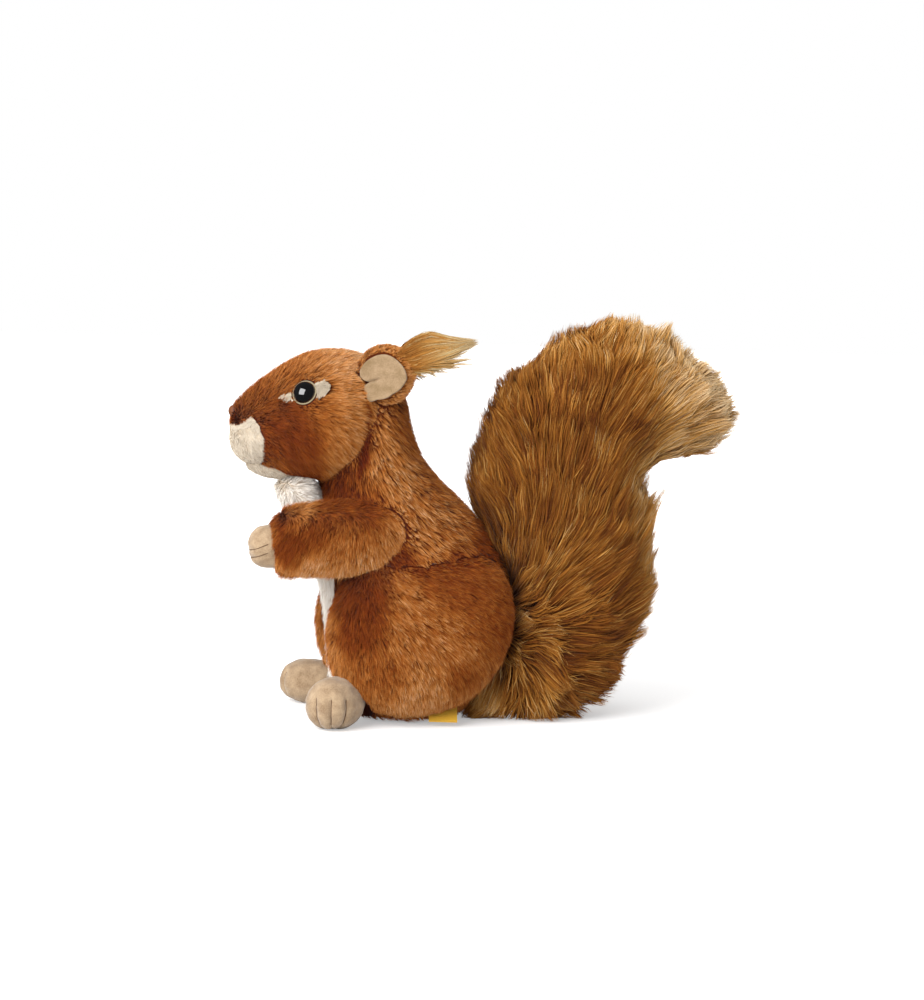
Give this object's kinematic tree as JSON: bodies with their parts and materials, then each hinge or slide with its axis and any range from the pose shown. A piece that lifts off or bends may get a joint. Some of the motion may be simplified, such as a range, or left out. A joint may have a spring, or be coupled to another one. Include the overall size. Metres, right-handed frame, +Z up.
{
  "type": "plush squirrel",
  "caption": "Soft toy squirrel sitting up on its haunches, forepaws held out, with a large bushy tail standing behind it and long tufted ears.",
  "frame": {"origin": "on the resting plane, under the middle of the body", "axes": "+Z up, the face looks towards -Y, the tail stands towards +Y, the animal's left side is +X"},
  "size_m": [0.0954, 0.2513, 0.197],
  "materials": {
    "brown_pile": "short brown plush pile",
    "tail_pile": "long brown plush pile",
    "golden_pile": "long golden plush pile",
    "cream_velour": "short cream pile",
    "beige_velour": "beige velour",
    "black_plastic": "glossy",
    "pale_felt": "felt",
    "white_plastic": "moulded",
    "brown_thread": "satin stitch",
    "yellow_weave": "woven ribbon"
  },
  "bodies": {
    "root": {"torso": "brown_pile", "chest_bib": "cream_velour", "head": "brown_pile", "muzzle": "cream_velour", "chin": "cream_velour", "nose": "brown_thread", "eye_left": "black_plastic", "eye_right": "black_plastic", "eye_rim_left": "pale_felt", "eye_rim_right": "pale_felt", "eye_washer_left": "white_plastic", "eye_washer_right": "white_plastic", "ear_left": "brown_pile", "ear_right": "brown_pile", "ear_lining_left": "beige_velour", "ear_lining_right": "beige_velour", "ear_tuft_left": "golden_pile", "ear_tuft_right": "golden_pile", "arm_left": "brown_pile", "arm_right": "brown_pile", "hand_left": "beige_velour", "hand_right": "beige_velour", "haunch_left": "brown_pile", "haunch_right": "brown_pile", "foot_left": "beige_velour", "foot_right": "beige_velour", "tail": "tail_pile", "label": "yellow_weave"}
  },
  "joints": []
}
